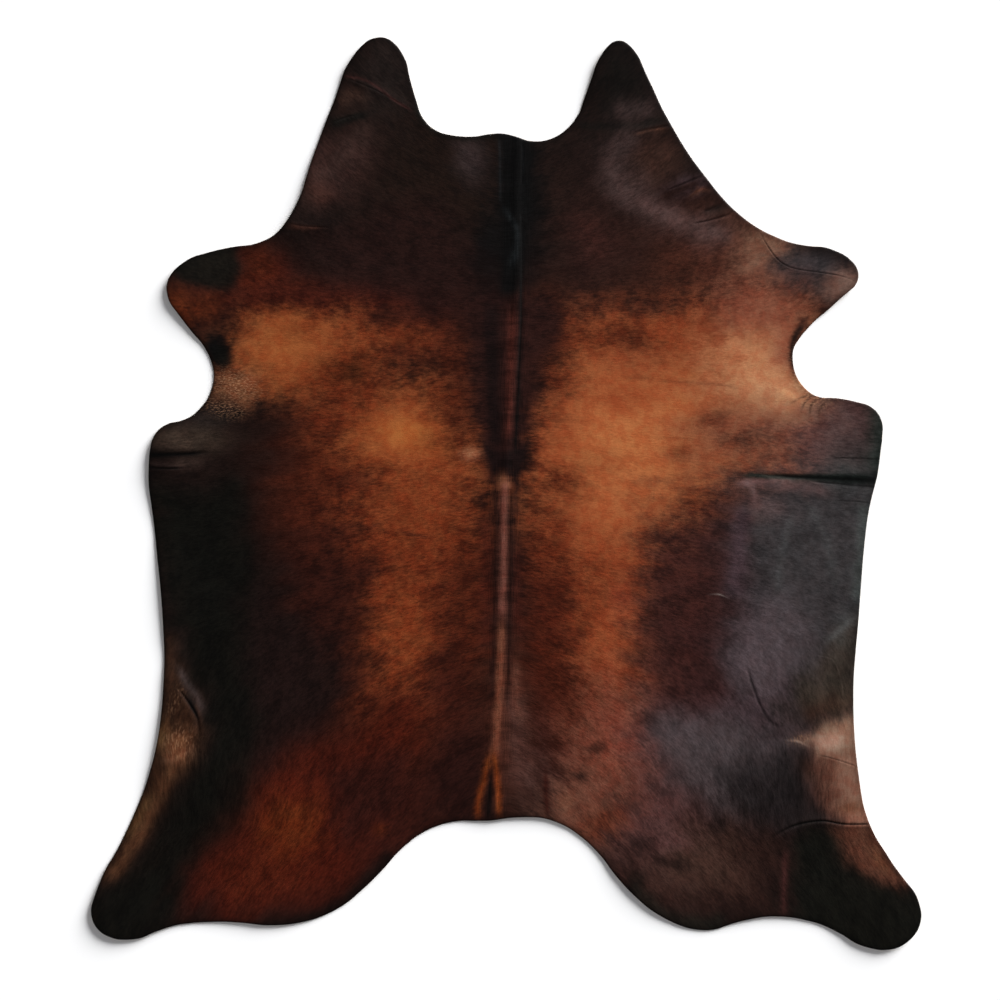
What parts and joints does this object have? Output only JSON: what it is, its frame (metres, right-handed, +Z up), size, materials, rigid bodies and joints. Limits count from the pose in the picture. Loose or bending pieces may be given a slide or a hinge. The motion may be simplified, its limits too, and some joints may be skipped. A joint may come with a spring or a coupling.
{
  "type": "hair-on cowhide rug",
  "caption": "Whole cowhide with its hair on, cut to a natural outline with neck lobes and shanks, lying flat with a ridge along the back and soft creases at its edges.",
  "frame": {"origin": "middle of the outline's box on the plane that the flesh side lies on", "axes": "+Y along the back towards the neck, +Z up out of the hair side, +X to the right seen from above"},
  "size_m": [1.9988, 2.197, 0.0156],
  "materials": {
    "hair_on_hide": "short sleek coat of black, red-brown and tan hair lying towards the edges, over tanned skin with a pale suede underside"
  },
  "bodies": {
    "root": {"hide": "hair_on_hide"}
  },
  "joints": []
}
